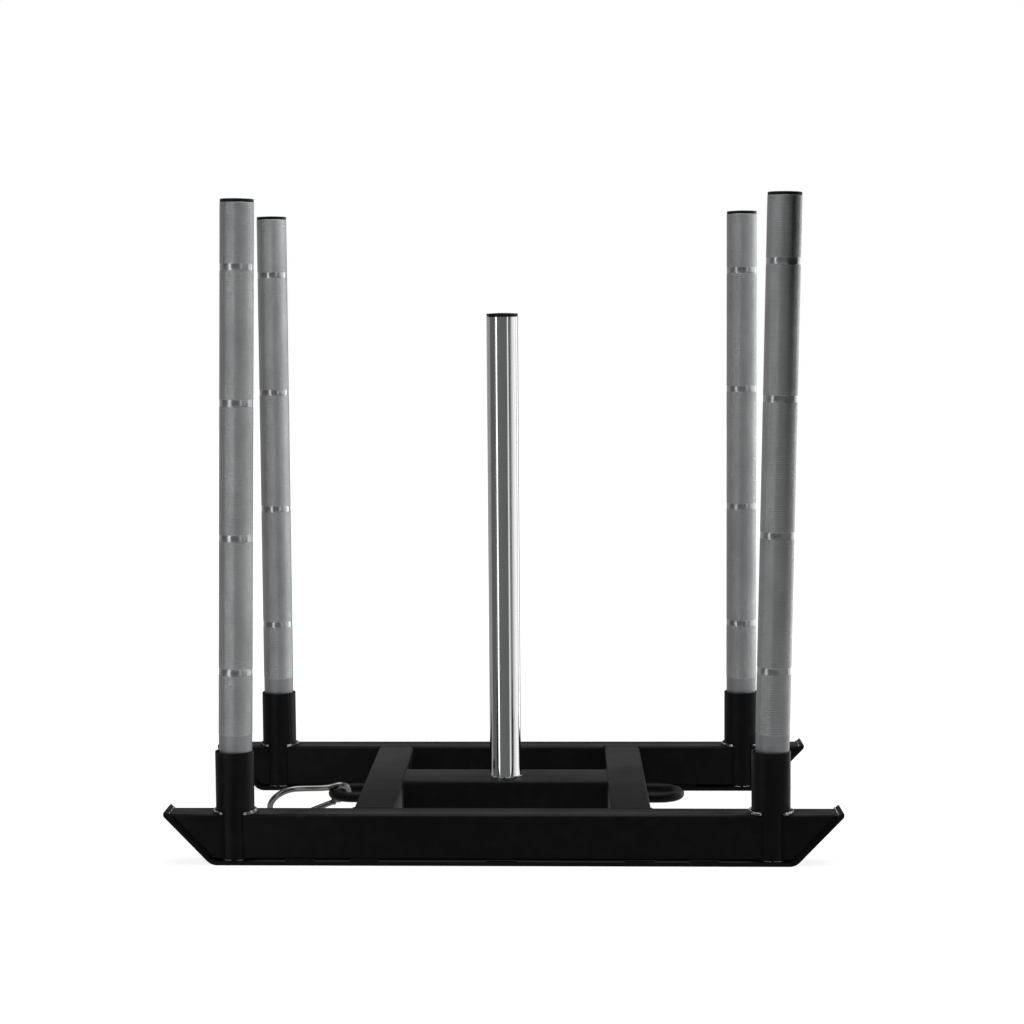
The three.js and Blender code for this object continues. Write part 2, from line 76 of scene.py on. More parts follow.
# Snap hook sizes in metres, its heading and roll in radians
WIRE, NARROW, WIDE, SPACING, WAIST, WAIST_RUN = 0.00475, 0.01875, 0.03575, 0.076, 0.004, 0.020
HOOK_CENTRE, HEADING, ROLL = Vector((-0.2731, 0, 0.047)), 0.245, 0.889
PIVOT_AT, TONGUE_SHOULDER, TONGUE_HALF, TONGUE_HEIGHT = 0.012, 0.005, 0.0017, 0.004
NOSE_SHOULDER_BACK, NOSE_LENGTH, NOSE_HEIGHT = 0.008, 0.011, 0.0035
GATE_RADIUS, FORK_HALF, CHEEK, GATE_PLAY = 0.0043, 0.0021, 0.0038, 0.0007
RIVET_RADIUS, RIVET_HEAD, RIVET_DOME = 0.0018, 0.0032, 0.0013
PIN_RADIUS, PIN_BACK = 0.0014, 0.0065
SPRING_WIRE, SPRING_RADIUS, SPRING_TURNS, SPRING_LENGTH = 0.00035, 0.002, 6, 0.017
PLUNGER_LENGTH = 0.0065

# The plunger's rounded nose: its face and shoulder as shares of the spring's radius
PLUNGER_FACE, PLUNGER_SHOULDER, PLUNGER_SHOULDER_AT = 0.5, 0.87, 0.4

# Eases and lips of the hook's ends in metres
SHOULDER_RUN, NOTCH_LIP, TONGUE_TIP = 0.0012, 0.0001, 0.0004
NOSE_EASE, NOSE_DROP, NOSE_THIN, GATE_EASE, PIN_EASE = 0.0008, 0.001, 0.0004, 0.0006, 0.0003

# The power that shapes a section: one for round wire, less for flatter sides
ROUND, BOXY = 1, 0.35


# Camera
def place_camera():
    """The photograph's view: 78 mm lens, standing 3.55 m in front and 0.8 m up."""
    yaw, pitch, roll = 0.0529, 0.0831, -0.0099
    level = Vector((-math.sin(yaw), math.cos(yaw), 0))
    side = Vector((math.cos(yaw), math.sin(yaw), 0))
    forward = level * math.cos(pitch) - Z * math.sin(pitch)
    rise = Z * math.cos(pitch) + level * math.sin(pitch)
    right = side * math.cos(roll) + rise * math.sin(roll)
    up = rise * math.cos(roll) - side * math.sin(roll)
    data = bpy.data.cameras.new("photo_camera")
    data.sensor_width = 36
    data.lens = 78.428
    data.shift_x = 0.07035
    data.clip_end = 50
    camera = bpy.data.objects.new("photo_camera", data)
    turn = Matrix((right, up, -forward)).transposed().to_4x4()
    camera.matrix_world = Matrix.Translation((0.08627, -3.55397, 0.79919)) @ turn
    bpy.context.scene.collection.objects.link(camera)
    bpy.context.scene.camera = camera


place_camera()


# Node helpers
def ranged(nodes, links, value, start, end, low=0.0, high=1.0):
    """Carries a value from the range start to end over to the range low to high."""
    node = nodes.new("ShaderNodeMapRange")
    for name, number in (("From Min", start), ("From Max", end), ("To Min", low), ("To Max", high)):
        node.inputs[name].default_value = number
    links.new(value, node.inputs["Value"])
    return node.outputs["Result"]


def calculated(nodes, links, operation, first, second=None):
    """One step of arithmetic on numbers or sockets."""
    node = nodes.new("ShaderNodeMath")
    node.operation = operation
    for slot, value in enumerate((first, second)):
        if value is None:
            continue
        if isinstance(value, (int, float)):
            node.inputs[slot].default_value = value
        else:
            links.new(value, node.inputs[slot])
    return node.outputs["Value"]


# Materials
class Finish:
    """A Principled material with short ways to add noise, ramps and bump."""

    def __init__(self, name, colour, roughness, metallic=0.0, specular=0.5):
        self.material = bpy.data.materials.new(name)
        self.material.use_nodes = True
        self.nodes = self.material.node_tree.nodes
        self.links = self.material.node_tree.links
        self.shader = self.nodes["Principled BSDF"]
        self.shader.inputs["Base Color"].default_value = (*colour, 1)
        self.shader.inputs["Roughness"].default_value = roughness
        self.shader.inputs["Metallic"].default_value = metallic
        self.shader.inputs["Specular IOR Level"].default_value = specular
        self.material.diffuse_color = (*colour, 1)

    def add(self, kind, **settings):
        node = self.nodes.new(kind)
        for key, value in settings.items():
            setattr(node, key, value)
        return node

    def place(self, scale=(1, 1, 1), source="Object"):
        where = self.add("ShaderNodeTexCoord")
        mapping = self.add("ShaderNodeMapping")
        mapping.inputs["Scale"].default_value = scale
        self.links.new(where.outputs[source], mapping.inputs["Vector"])
        return mapping.outputs["Vector"]

    def noise(self, scale, detail=3, stretch=(1, 1, 1), source="Object"):
        node = self.add("ShaderNodeTexNoise")
        node.inputs["Scale"].default_value = scale
        node.inputs["Detail"].default_value = detail
        self.links.new(self.place(stretch, source), node.inputs["Vector"])
        return node.outputs["Fac"]

    def between(self, value, low, high, start=0.3, end=0.7):
        return ranged(self.nodes, self.links, value, start, end, low, high)

    def math(self, operation, first, second=None):
        return calculated(self.nodes, self.links, operation, first, second)

    def colours(self, value, low, high):
        node = self.add("ShaderNodeMix", data_type="RGBA")
        node.inputs["A"].default_value = (*low, 1)
        node.inputs["B"].default_value = (*high, 1)
        self.links.new(value, node.inputs["Factor"])
        return node.outputs["Result"]

    def bump(self, height, strength, distance, under=None):
        node = self.add("ShaderNodeBump")
        node.inputs["Strength"].default_value = strength
        node.inputs["Distance"].default_value = distance
        self.links.new(height, node.inputs["Height"])
        if under is not None:
            self.links.new(under, node.inputs["Normal"])
        return node.outputs["Normal"]

    def set(self, socket, value):
        self.links.new(value, self.shader.inputs[socket])


def powder_coat():
    """Satin black coat: fine orange peel, cloudy sheen, a little dust."""
    coat = Finish("black_powder_coat", (0.0037, 0.0037, 0.0038), 0.42, specular=0.1)
    cloud = coat.noise(9, 4)
    dust = coat.between(coat.noise(55, 5), 0, 1, 0.45, 0.75)
    coat.set("Base Color", coat.colours(dust, (0.0032, 0.0032, 0.0032), (0.0052, 0.0052, 0.0053)))
    coat.set("Roughness", coat.between(cloud, 0.37, 0.48))
    coat.set("Normal", coat.bump(coat.noise(620, 2), 0.28, 0.0004))
    return coat.material


def weld_coat():
    """Thin glossy coat over rippled weld metal, which glints through it."""
    coat = Finish("coated_weld", (0.25, 0.25, 0.25), 0.2, metallic=1)
    bare = coat.between(coat.noise(130, 2), 0, 1, 0.42, 0.62)
    coat.set("Base Color", coat.colours(bare, (0.04, 0.04, 0.04), (0.5, 0.5, 0.49)))
    coat.set("Roughness", coat.between(coat.noise(240, 2), 0.14, 0.3))
    coat.set("Normal", coat.bump(coat.noise(700, 2), 0.8, 0.0008))
    return coat.material


def post_chrome():
    """Plating over drawn tube: faint long draw lines and a few hazy rub marks."""
    plate = Finish("polished_chrome", (0.74, 0.75, 0.76), 0.09, metallic=1)
    haze = plate.noise(14, 4)
    plate.set("Roughness", plate.between(haze, 0.05, 0.13))
    lines = plate.noise(420, 2, (1, 1, 0.012))
    rings = plate.noise(260, 1, (0.02, 0.02, 1))
    fine = plate.bump(lines, 0.05, 0.0002)
    plate.set("Normal", plate.bump(rings, 0.02, 0.0002, fine))
    return plate.material


def hook_chrome():
    """Plating over bent wire, slightly rippled; its colour is darkened as painted shade for the dark
    surroundings it mirrors.
    """
    plate = Finish("hook_chrome", (0.18, 0.18, 0.175), 0.07, metallic=1)
    plate.set("Roughness", plate.between(plate.noise(90, 3), 0.04, 0.11))
    plate.set("Normal", plate.bump(plate.noise(380, 2), 0.08, 0.0003))
    return plate.material


def knurled_steel():
    """Satin plated grip: diamond knurl in the pole's own UV, its tone and dullness varying in patches."""
    steel = Finish("knurled_grip", (0.44, 0.45, 0.455), 0.38, metallic=1)
    where = steel.add("ShaderNodeTexCoord")
    split = steel.add("ShaderNodeSeparateXYZ")
    steel.links.new(where.outputs["UV"], split.inputs[0])
    rows_around, rows_a_metre = 84, 540
    around = steel.math("MULTIPLY", split.outputs["X"], 2 * math.pi * rows_around)
    along = steel.math("MULTIPLY", split.outputs["Y"], 2 * math.pi * rows_a_metre)
    left = steel.math("SINE", steel.math("ADD", around, along))
    right = steel.math("SINE", steel.math("SUBTRACT", around, along))
    diamond = steel.math("MINIMUM", left, right)
    wear = steel.noise(26, 4, (1, 1, 0.5))
    tone = steel.colours(steel.between(wear, 0, 1), (0.39, 0.405, 0.41), (0.49, 0.5, 0.505))
    steel.set("Base Color", tone)
    steel.set("Roughness", steel.between(wear, 0.42, 0.34))
    steel.set("Normal", steel.bump(diamond, 0.35, 0.0003))
    return steel.material


def turned_steel(name, colour, low, high):
    """Smooth stretch of a pole with fine rings from the lathe."""
    steel = Finish(name, colour, (low + high) / 2, metallic=1)
    steel.set("Roughness", steel.between(steel.noise(60, 4), low, high))
    steel.set("Normal", steel.bump(steel.noise(900, 1, (0.02, 0.02, 1)), 0.06, 0.0002))
    return steel.material


def spring_steel():
    """Plain drawn wire and plunger."""
    steel = Finish("spring_steel", (0.42, 0.43, 0.45), 0.28, metallic=1)
    steel.set("Roughness", steel.between(steel.noise(500, 2), 0.22, 0.4))
    return steel.material


def cap_plastic():
    """Moulded plastic with a fine grain."""
    plastic = Finish("black_plastic", (0.004, 0.004, 0.0042), 0.45, specular=0.2)
    plastic.set("Roughness", plastic.between(plastic.noise(70, 3), 0.38, 0.55))
    plastic.set("Normal", plastic.bump(plastic.noise(1400, 2), 0.25, 0.0003))
    return plastic.material


COAT = powder_coat()
WELD = weld_coat()
CHROME = post_chrome()
HOOK = hook_chrome()
KNURL = knurled_steel()
BAND = turned_steel("smooth_band", (0.5, 0.51, 0.52), 0.22, 0.32)
FOOT = turned_steel("bare_foot", (0.38, 0.39, 0.4), 0.5, 0.6)
SPRING = spring_steel()
PLASTIC = cap_plastic()


# Mesh helpers
def new_object(name, mesh, materials):
    for material in materials:
        mesh.materials.append(material)
    obj = bpy.data.objects.new(name, mesh)
    bpy.context.scene.collection.objects.link(obj)
    return obj


def smooth(obj, degrees=38):
    obj.data.shade_smooth()
    obj.data.set_sharp_from_angle(angle=math.radians(degrees))
    return obj


def fitted(obj, body, slot, *nodes):
    """Rides on its body and stands for CAD nodes, which it hides. The slot is not used."""
    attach(obj, body)
    if nodes:
        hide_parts(*nodes)
    return obj


def turned(name, profile, sides, materials, closed=False, place=None, tones=None):
    """Turns (radius, height) points about Z. UV: X round the turn, Y the height in metres."""
    bm = bmesh.new()
    uv = bm.loops.layers.uv.new("UVMap")
    rings = []
    for radius, height in profile:
        if radius < 1e-9:
            rings.append([bm.verts.new((0, 0, height))])
            continue
        ring = []
        for i in range(sides):
            angle = 2 * math.pi * i / sides
            ring.append(bm.verts.new((radius * math.cos(angle), radius * math.sin(angle), height)))
        rings.append(ring)
    pairs = list(zip(range(len(rings) - 1), range(1, len(rings))))
    if closed:
        pairs.append((len(rings) - 1, 0))
    for step, (a, b) in enumerate(pairs):
        low, high = rings[a], rings[b]
        for i in range(sides):
            j = (i + 1) % sides
            corners = [(low, i, i), (low, j, i + 1), (high, j, i + 1), (high, i, i)]
            if len(low) == 1:
                corners = [(low, 0, i), (high, j, i + 1), (high, i, i)]
            if len(high) == 1:
                corners = [(low, i, i), (low, j, i + 1), (high, 0, i)]
            face = bm.faces.new([ring[k % len(ring)] for ring, k, turn in corners])
            face.material_index = tones[step] if tones else 0
            for loop, (ring, k, turn) in zip(face.loops, corners):
                loop[uv].uv = (turn / sides, loop.vert.co.z)
    bmesh.ops.recalc_face_normals(bm, faces=bm.faces)
    mesh = bpy.data.meshes.new(name)
    bm.to_mesh(mesh)
    bm.free()
    if place is not None:
        mesh.transform(place)
    return smooth(new_object(name, mesh, materials))


def swept(name, stations, material, sides=20, closed=False):
    """Skins sections along a path. A station is (centre, across, over, out, inn, half, square):
    the section reaches out and inn along across, half along over; square is ROUND or BOXY."""
    bm = bmesh.new()
    rings = []
    for centre, across, over, out, inn, half, square in stations:
        ring = []
        for i in range(sides):
            angle = 2 * math.pi * (i + 0.5) / sides
            c, s = math.cos(angle), math.sin(angle)
            reach = (out if c > 0 else inn) * math.copysign(abs(c) ** square, c)
            rise = half * math.copysign(abs(s) ** square, s)
            ring.append(bm.verts.new(centre + across * reach + over * rise))
        rings.append(ring)
    count = len(rings) if closed else len(rings) - 1
    for k in range(count):
        low, high = rings[k], rings[(k + 1) % len(rings)]
        for i in range(sides):
            j = (i + 1) % sides
            bm.faces.new((low[i], low[j], high[j], high[i]))
    if not closed:
        bm.faces.new(rings[0])
        bm.faces.new(rings[-1])
    bmesh.ops.recalc_face_normals(bm, faces=bm.faces)
    mesh = bpy.data.meshes.new(name)
    bm.to_mesh(mesh)
    bm.free()
    return smooth(new_object(name, mesh, [material]))


def block(name, low, high):
    """A plain box between two corners, for cutting."""
    bm = bmesh.new()
    bmesh.ops.create_cube(bm, size=1)
    low, high = Vector(low), Vector(high)
    size = high - low
    for vert in bm.verts:
        vert.co = (low + high) / 2 + Vector(a * b for a, b in zip(vert.co, size))
    mesh = bpy.data.meshes.new(name)
    bm.to_mesh(mesh)
    bm.free()
    return new_object(name, mesh, [])


def evaluated(obj, name):
    """The object's mesh with its modifiers applied, as a new plain object in its place."""
    graph = bpy.context.evaluated_depsgraph_get()
    mesh = bpy.data.meshes.new_from_object(obj.evaluated_get(graph))
    done = bpy.data.objects.new(name, mesh)
    bpy.context.scene.collection.objects.link(done)
    old = obj.data
    bpy.data.objects.remove(obj)
    bpy.data.meshes.remove(old)
    mesh.name = name
    return done


def cut(base, cutters, name):
    """Takes the cutters out of the base."""
    for tool in cutters:
        modifier = base.modifiers.new("cut", "BOOLEAN")
        modifier.operation = "DIFFERENCE"
        modifier.solver = "EXACT"
        modifier.object = tool
    done = evaluated(base, name)
    for tool in cutters:
        data = tool.data
        bpy.data.objects.remove(tool)
        bpy.data.meshes.remove(data)
    return done


def softened(node, width, material, name):
    """A copy of a CAD node, merged, with its sharp edges eased so that they catch light."""
    bm = bmesh.new()
    bm.from_mesh(frame["nodes"][node].data)
    same_place, same_plane, corner, crease = 2e-6, math.radians(0.6), math.radians(50), 42
    bmesh.ops.remove_doubles(bm, verts=bm.verts, dist=same_place)
    bmesh.ops.dissolve_limit(bm, angle_limit=same_plane, verts=bm.verts, edges=bm.edges)
    mesh = bpy.data.meshes.new(name)
    bm.to_mesh(mesh)
    bm.free()
    obj = new_object(name, mesh, [material])
    bevel = obj.modifiers.new("ease", "BEVEL")
    bevel.width = width
    bevel.segments = 2
    bevel.limit_method = "ANGLE"
    bevel.angle_limit = corner
    return smooth(evaluated(obj, name), crease)


# Frame tubes and skids
FRAME_BARS = [f"{side}_{part}" for side in ("near", "far")
              for part in ("skid", "rail_left_end", "rail_middle", "rail_right_end")]
FRAME_BARS += ["left_cross_member", "right_cross_member", "middle_beam"]
# The photo's post mirrors the soft boxes down to its foot, so what stands in their way isn't mirrored
NOT_MIRRORED = ("near_rail_middle", "left_cross_member", "right_cross_member", "middle_beam",
                "right_tow_loop", "deck_welds", "tow_loop_welds")
for node in FRAME_BARS:
    ease = SKID_EASE if "skid" in node else BAR_EASE
    bar = softened(node, ease, COAT, f"{node}_bar")
    bar.visible_glossy = node not in NOT_MIRRORED
    fitted(bar, "sled_frame", "black_powder_coat", node)


def slant_x(height, depth):
    """Where the turned-up end of a skid lies at a height, a depth inside its outer face."""
    return SKID_CORNER + height / math.tan(TURN_UP) - depth / math.sin(TURN_UP)


def above_skid(x):
    """Height of the lowest point over the skid's flat and bend at x."""
    past = abs(x) - (SKID_CORNER - SKID_BEND * math.tan(TURN_UP / 2))
    inner = SKID_BEND - SKID_TOP - GAP
    return SKID_TOP + GAP + (inner - math.sqrt(inner ** 2 - past ** 2) if past > 0 else 0)


# Sleeves
for side, y in (("near", -RAIL_Y), ("far", RAIL_Y)):
    for end, x in (("left", -POLE_X), ("right", POLE_X)):
        outer, bore, ease, bend = SLEEVE_RADIUS, SLEEVE_BORE, SLEEVE_EASE, SLEEVE_EASE * EASE_MIDDLE
        foot, rim = SKID_TOP + GAP, SLEEVE_RIM
        outline = [(bore, foot), (outer, foot)]
        outline += [(outer, rim - ease), (outer - bend, rim - bend), (outer - ease, rim)]
        outline += [(bore + ease, rim), (bore + bend, rim - bend), (bore, rim - ease)]
        tube = turned(f"{side}_{end}_sleeve_tube", outline, 96, [COAT], True,
                      Matrix.Translation((x, y, 0)))
        for vert in tube.data.vertices:
            vert.co.z = max(vert.co.z, above_skid(vert.co.x))
        fitted(tube, "sled_frame", "black_powder_coat", f"{side}_{end}_sleeve")


# Tow loops
def bow_stations(side):
    """Centres and directions along a tow loop: leg, half-round bow, leg."""
    line = []
    start = TOW_FACE + GAP
    bow_x = TOW_FACE + TOW_LEG
    for i in range(7):
        line.append((start + (bow_x - start) * i / 6, -TOW_BOW, Vector((0, -1, 0))))
    for i in range(1, 48):
        angle = -math.pi / 2 + math.pi * i / 48
        out = Vector((math.cos(angle), math.sin(angle), 0))
        line.append((bow_x + TOW_BOW * out.x, TOW_BOW * out.y, out))
    for i in range(7):
        line.append((bow_x + (start - bow_x) * i / 6, TOW_BOW, Vector((0, 1, 0))))
    flip = Matrix.Diagonal((side, 1, 1))
    return [(Vector((side * x, y, TOW_HEIGHT)), flip @ out, Z, TOW_RADIUS, TOW_RADIUS, TOW_RADIUS, ROUND)
            for x, y, out in line]


for end, side in (("left", -1), ("right", 1)):
    loop = swept(f"{end}_tow_loop_bar", bow_stations(side), COAT, 28)
    loop.visible_glossy = f"{end}_tow_loop" not in NOT_MIRRORED
    fitted(loop, "sled_frame", "black_powder_coat", f"{end}_tow_loop")

# Weight post
low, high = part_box("weight_post")
post_bottom, post_top = low.z, high.z
inner = POST_RADIUS - POST_WALL
outline = [(inner, post_bottom), (POST_RADIUS - TUBE_EASE, post_bottom)]
outline += [(POST_RADIUS, post_bottom + TUBE_EASE), (POST_RADIUS, post_top - TUBE_EASE)]
outline += [(POST_RADIUS - TUBE_EASE, post_top), (inner, post_top)]
post = turned("weight_post_tube", outline, 128, [CHROME], True)
fitted(post, "sled_frame", "polished_chrome", "weight_post")


def cap_outline(radius, wall, bottom):
    """Plug in the bore, flange on the rim, softly domed top with a moulded ring."""
    plug, edge, top = radius - wall - GAP, CAP_EDGE, bottom + CAP_HEIGHT
    outline = [(0, bottom - CAP_PLUG), (plug - edge, bottom - CAP_PLUG), (plug, bottom + edge - CAP_PLUG)]
    outline += [(plug, bottom), (radius, bottom), (radius, top - CAP_BRIM)]
    for i in range(1, 6):
        angle = math.pi / 2 * i / 5
        rise = CAP_BRIM_RISE * math.sin(angle)
        outline.append((radius - edge * (1 - math.cos(angle)), top - CAP_BRIM + rise))
    return outline + [(radius * share, top - drop) for share, drop in CAP_RING + CAP_DOME]


cap = turned("weight_post_plug", cap_outline(POST_RADIUS, POST_WALL, post_top + GAP), 96, [PLASTIC])
fitted(cap, "sled_frame", "black_plastic", "weight_post_cap")


# Push poles
def pole_outline():
    """Radius, height and tone of each stretch: bare foot, grooved grips, smooth bands."""
    bare, grip, bore = POLE_RADIUS, POLE_RADIUS + GRIP_RISE, POLE_RADIUS - POLE_WALL
    ring = ((GROOVE_AT, grip - RING_GROOVE), (RIDGE_START, grip), (RIDGE_END, grip))
    foot_tone, band_tone, grip_tone = 2, 1, 0
    points = [(bore, 0, foot_tone), (bare - TUBE_EASE, 0, foot_tone), (bare, TUBE_EASE, foot_tone)]
    points.append((bare, GRIP_START, foot_tone))
    edges = [GRIP_START]
    for centre in BAND_CENTRES:
        edges += [centre - BAND_WIDTH / 2, centre + BAND_WIDTH / 2]
    edges.append(POLE_LENGTH - RIM_EASE)
    for low, high in zip(edges[::2], edges[1::2]):
        count = round((high - low) / RING_PITCH)
        for i in range(count):
            start = low + (high - low) * i / count
            step = (high - low) / count
            for share, radius in ring:
                points.append((radius, start + step * share, grip_tone))
        if high < edges[-1]:
            points += [(bare, high, band_tone), (bare, high + BAND_WIDTH, band_tone)]
    points += [(grip - RING_GROOVE, edges[-1], grip_tone), (bare - TUBE_EASE, POLE_LENGTH, band_tone)]
    points.append((bore, POLE_LENGTH, foot_tone))
    tones = [min(a[2], b[2]) for a, b in zip(points, points[1:])] + [foot_tone]
    return [(r, z) for r, z, tone in points], tones


for joint in frame["joints"]:
    if joint["type"] != "slide":
        continue
    body = joint["child"]
    name = body.replace("_push_pole", "_pole")
    low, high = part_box(name)
    axis = Vector(joint["axis"]).normalized()
    stand = (low + high) / 2 - axis * POLE_LENGTH / 2
    turn = Z.rotation_difference(axis).to_matrix().to_4x4()
    place = Matrix.Translation(stand) @ turn
    outline, tones = pole_outline()
    pole = turned(f"{name}_tube", outline, 64, [KNURL, BAND, FOOT], True, place, tones)
    fitted(pole, body, "satin_steel", name)
    outline = cap_outline(POLE_RADIUS, POLE_WALL, POLE_LENGTH + GAP)
    cap = turned(f"{name}_plug", outline, 72, [PLASTIC], False, place)
    fitted(cap, body, "black_plastic", f"{name}_cap")

# Snap hook: the flat drawing's U, V and W directions, as it hangs and rests on the floor
TAPER = math.asin((WIDE - NARROW) / SPACING)
SIDE = SPACING * math.cos(TAPER)


def lowest(dip):
    """Height of the wide arc's underside when the hook hangs down by dip."""
    rise = math.hypot(math.sin(dip), math.cos(dip) * math.sin(ROLL))
    return HOOK_CENTRE.z - SPACING * math.sin(dip) - WIDE * rise - WIRE


def resting_dip():
    """The dip at which the wide arc comes down to the floor, found by halving."""
    low, high = 0.0, math.pi / 4
    for _ in range(40):
        middle = (low + high) / 2
        if lowest(middle) > GAP / 2:
            low = middle
        else:
            high = middle
    return (low + high) / 2


dip = resting_dip()
along = Vector((-math.cos(HEADING) * math.cos(dip), -math.sin(HEADING) * math.cos(dip), -math.sin(dip)))
level = Vector((math.sin(HEADING), -math.cos(HEADING), 0))
spineward = level * math.cos(ROLL) + along.cross(level) * math.sin(ROLL)
through = along.cross(spineward)
HOOK_PLACE = Matrix.Translation(HOOK_CENTRE) @ Matrix((along, spineward, through)).transposed().to_4x4()
GATE_ALONG = Vector((math.cos(TAPER), -math.sin(TAPER), 0))
GATE_INWARD = Vector((math.sin(TAPER), math.cos(TAPER), 0))
GATE_START = Vector((-NARROW * math.sin(TAPER), -NARROW * math.cos(TAPER), 0))
GATE_PLACE = HOOK_PLACE @ Matrix.Translation(GATE_START) @ Matrix.Rotation(-TAPER, 4, "Z")
NOSE_SHOULDER = SIDE - NOSE_SHOULDER_BACK
PIN_AT = NOSE_SHOULDER - PIN_BACK


def gate_station(run, out, inn, half, square):
    """A section on the gate's line, at a run from its start."""
    return (GATE_START + GATE_ALONG * run, -GATE_INWARD, Z, out, inn, half, square)


def arc_stations(centre, radius, start, end, steps):
    """Round wire sections along an arc."""
    line = []
    for i in range(steps + 1):
        angle = start + (end - start) * i / steps
        out = Vector((math.cos(angle), math.sin(angle), 0))
        line.append((centre + out * radius, out, Z, WIRE, WIRE, WIRE, ROUND))
    return line


def waist(run):
    """How far the spine is drawn in at a run along it."""
    share = run / WAIST_RUN if run < WAIST_RUN else (SIDE - run) / (SIDE - WAIST_RUN)
    return WAIST * (1 - math.cos(math.pi * share)) / 2


def spine_stations(steps):
    """The spine draws in past the narrow arc and eases back out to the wide arc."""
    out = Vector((math.cos(math.pi / 2 + TAPER), math.sin(math.pi / 2 + TAPER), 0))
    ahead = Vector((math.cos(TAPER), math.sin(TAPER), 0))
    runs = [SIDE * i / steps for i in range(1, steps)]
    return [(out * (NARROW - waist(run)) + ahead * run, out, Z, WIRE, WIRE, WIRE, ROUND) for run in runs]


def hook_stations():
    """Round-ended tongue, wire round both arcs, then the notched nose."""
    line = []
    for i in range(9):
        offset = TONGUE_HEIGHT * math.cos(math.pi / 2 * i / 8)
        reach = max(math.sqrt(max(TONGUE_HEIGHT ** 2 - offset ** 2, 0)), TONGUE_TIP)
        line.append(gate_station(PIVOT_AT + offset, reach, reach, TONGUE_HALF, BOXY))
    for i in range(5):
        blend = i / 4
        reach = TONGUE_HEIGHT + (WIRE - TONGUE_HEIGHT) * blend
        half = TONGUE_HALF + (WIRE - TONGUE_HALF) * blend
        run = TONGUE_SHOULDER + SHOULDER_RUN - SHOULDER_RUN * blend
        line.append(gate_station(run, reach, reach, half, BOXY + (ROUND - BOXY) * blend))
    line += arc_stations(Vector(), NARROW, 1.5 * math.pi - TAPER, math.pi / 2 + TAPER, 36)
    line += spine_stations(24)
    line += arc_stations(Vector((SPACING, 0, 0)), WIDE, math.pi / 2 + TAPER, -math.pi / 2 - TAPER, 72)
    for i in range(5):
        blend = i / 4
        reach = WIRE + (NOSE_HEIGHT - WIRE) * blend
        half = WIRE + (TONGUE_HALF - WIRE) * blend
        run = NOSE_SHOULDER + SHOULDER_RUN - SHOULDER_RUN * blend
        line.append(gate_station(run, reach, reach, half, ROUND - (ROUND - BOXY) * blend))
    notch = PIN_RADIUS + GAP
    line.append(gate_station(PIN_AT + notch + NOTCH_LIP, NOSE_HEIGHT, NOSE_HEIGHT, TONGUE_HALF, BOXY))
    for i in range(9):
        angle = math.pi * i / 8
        floor_of_notch = -notch * math.sin(angle)
        run = PIN_AT + notch * math.cos(angle)
        line.append(gate_station(run, NOSE_HEIGHT, floor_of_notch, TONGUE_HALF, BOXY))
    line.append(gate_station(PIN_AT - notch - NOTCH_LIP, NOSE_HEIGHT, NOSE_HEIGHT, TONGUE_HALF, BOXY))
    end, blunt = NOSE_SHOULDER - NOSE_LENGTH, NOSE_HEIGHT - NOSE_DROP
    line.append(gate_station(end + NOSE_EASE, NOSE_HEIGHT, NOSE_HEIGHT, TONGUE_HALF, BOXY))
    line.append(gate_station(end, blunt, blunt, TONGUE_HALF - NOSE_THIN, BOXY))
    return line


hook = swept("snap_hook_wire", hook_stations(), HOOK, 32)
hook.data.transform(HOOK_PLACE)
fitted(hook, "snap_hook", "hook_chrome", "snap_hook_body")


# Gate: rod with a round heel, forks at both ends, rivet, latch pin, spring and plunger
def gate_bar():
    """The bored and forked rod, and the place where its bore starts."""
    tip = NOSE_SHOULDER - GATE_PLAY
    outline = []
    for i in range(13):
        angle = math.pi / 2 * i / 12
        outline.append((GATE_RADIUS * math.sin(angle), PIVOT_AT - GATE_RADIUS * math.cos(angle)))
    outline += [(GATE_RADIUS, tip - GATE_EASE), (GATE_RADIUS - GATE_EASE, tip), (0, tip)]
    bar = turned("gate_blank", outline, 40, [HOOK], False, Matrix.Rotation(math.pi / 2, 4, "Y"))
    wide = 0.02
    slot_end = PIVOT_AT + TONGUE_HEIGHT + GAP
    nose_start = NOSE_SHOULDER - NOSE_LENGTH - 2 * GAP
    cutters = [
        block("hinge_slot", (-wide, -wide, -FORK_HALF), (slot_end, wide, FORK_HALF)),
        block("nose_slot", (nose_start, -wide, -FORK_HALF), (tip + wide, wide, FORK_HALF)),
        block("flat_over", (PIVOT_AT - GATE_RADIUS, -wide, CHEEK), (PIVOT_AT + GATE_RADIUS, wide, wide)),
        block("flat_under", (PIVOT_AT - GATE_RADIUS, -wide, -wide), (PIVOT_AT + GATE_RADIUS, wide, -CHEEK)),
    ]
    bore_end = slot_end + PLUNGER_LENGTH + GAP + SPRING_LENGTH + GAP
    holes = [(RIVET_RADIUS + GAP, PIVOT_AT), (PIN_RADIUS + GAP, PIN_AT)]
    for radius, run in holes:
        hole = turned("hole", [(0, -wide), (radius, -wide), (radius, wide), (0, wide)], 24, [],
                      False, Matrix.Translation((run, 0, 0)))
        cutters.append(hole)
    outline = [(0, slot_end - GAP), (SPRING_RADIUS + GAP, slot_end - GAP),
               (SPRING_RADIUS + GAP, bore_end), (0, bore_end)]
    cutters.append(turned("bore", outline, 24, [], False, Matrix.Rotation(math.pi / 2, 4, "Y")))
    return smooth(cut(bar, cutters, "snap_hook_gate_bar"), 32), slot_end


gate, plunger_at = gate_bar()
gate.data.transform(GATE_PLACE)
fitted(gate, "snap_hook_gate", "hook_chrome", "snap_hook_gate")

